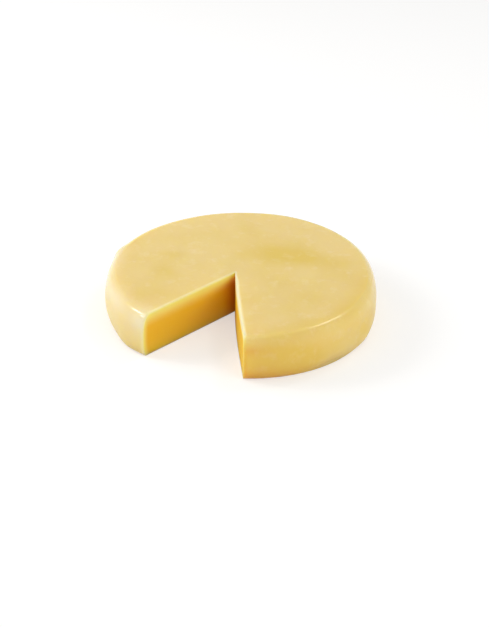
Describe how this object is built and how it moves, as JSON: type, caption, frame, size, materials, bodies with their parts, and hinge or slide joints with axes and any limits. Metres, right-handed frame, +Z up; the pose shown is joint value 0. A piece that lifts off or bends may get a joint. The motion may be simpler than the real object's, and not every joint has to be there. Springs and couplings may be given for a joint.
{
  "type": "kashar cheese",
  "caption": "Low round wheel of pale yellow cheese with rounded rims, and a gap where a wedge was cut out.",
  "frame": {"origin": "on the flat base, under the middle of the wheel", "axes": "+Z up out of the wheel's top face; the gap of the missing wedge opens towards -Y"},
  "size_m": [0.2402, 0.233, 0.04],
  "materials": {
    "cheese": "satin"
  },
  "bodies": {
    "root": {"cheese_wheel": "cheese"}
  },
  "joints": []
}
